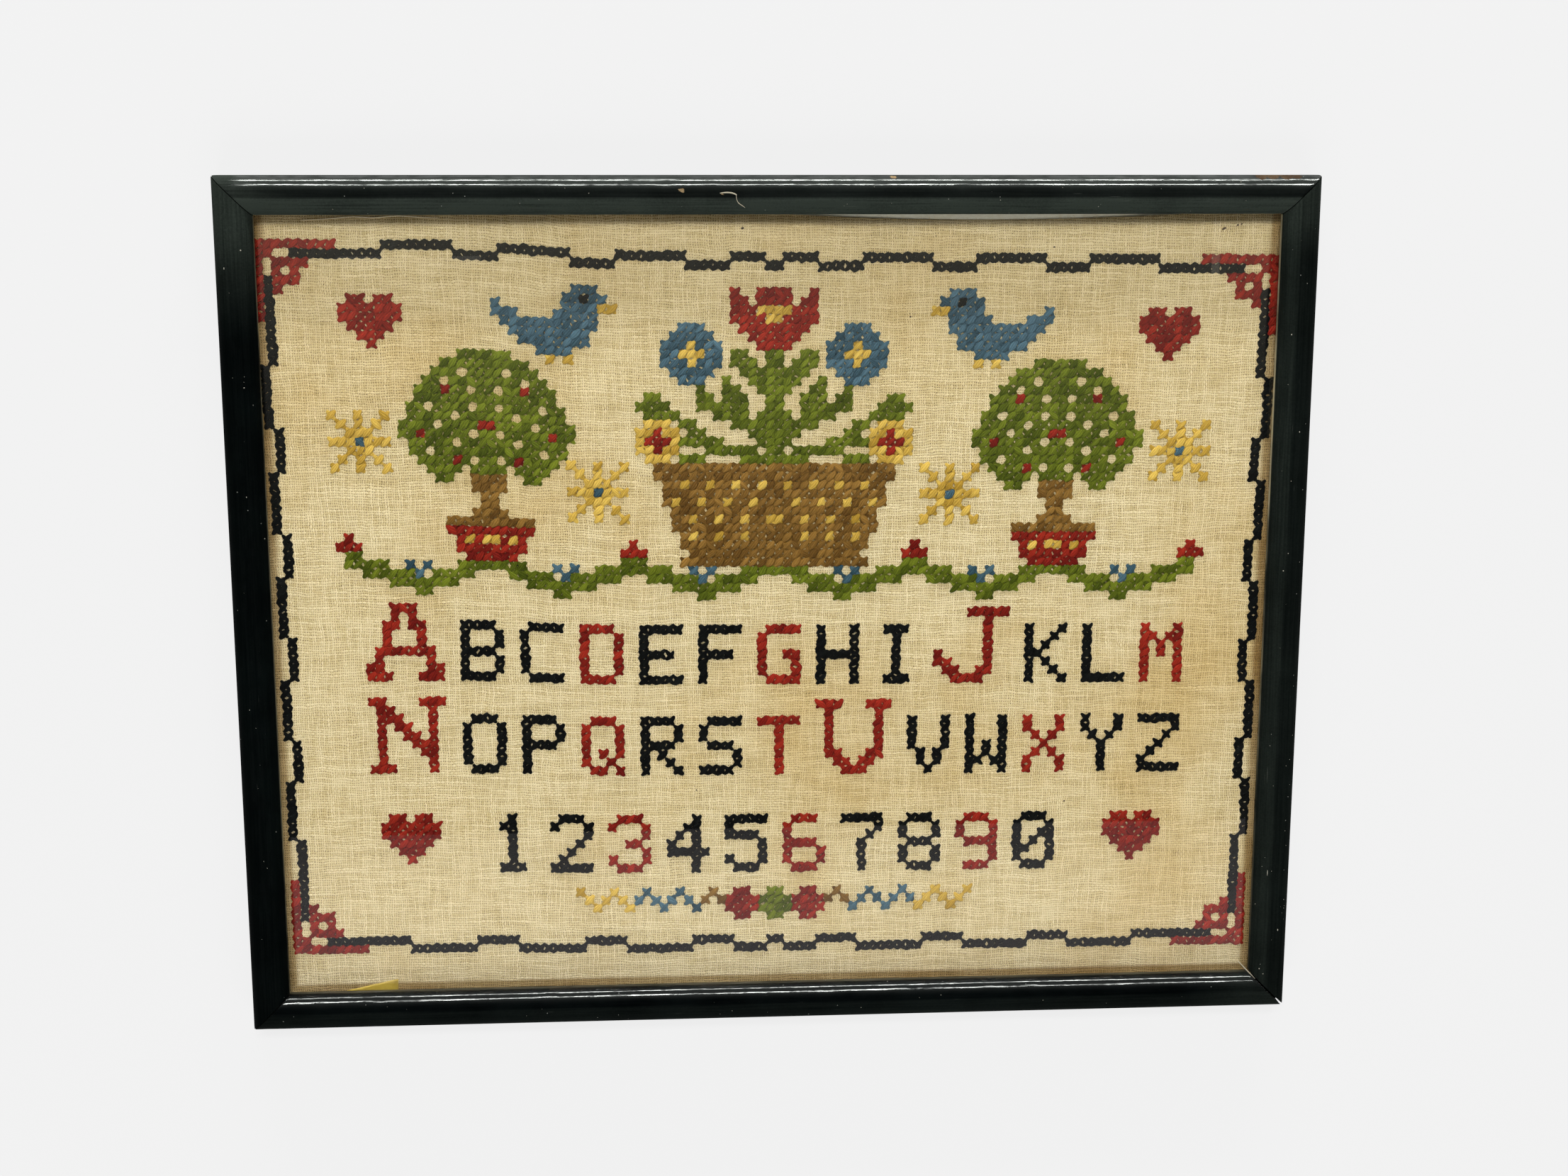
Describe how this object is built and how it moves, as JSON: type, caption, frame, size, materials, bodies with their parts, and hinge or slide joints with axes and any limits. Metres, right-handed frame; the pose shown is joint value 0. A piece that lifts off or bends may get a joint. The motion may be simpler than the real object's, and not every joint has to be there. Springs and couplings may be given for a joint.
{
  "type": "framed cross stitch sampler",
  "caption": "Linen sampler worked in cross stitch, behind glass in a narrow rounded black wooden frame, lying face up.",
  "frame": {"origin": "middle of the frame's back, on the plane that it rests on", "axes": "+X towards the sampler's right, +Y towards its top edge, +Z out of its face"},
  "size_m": [0.4, 0.321, 0.015],
  "materials": {
    "frame_paint": "glossy aged black-green paint on wood",
    "glass": "clear window glass",
    "linen": "natural linen, plain weave",
    "board": "matt grey card",
    "thread": "stranded cotton in several colours",
    "tape": "yellowed tape"
  },
  "bodies": {
    "root": {"rail_top": "frame_paint", "rail_bottom": "frame_paint", "rail_left": "frame_paint", "rail_right": "frame_paint", "glass_pane": "glass", "linen_cloth": "linen", "backing_board": "board"}
  },
  "joints": []
}
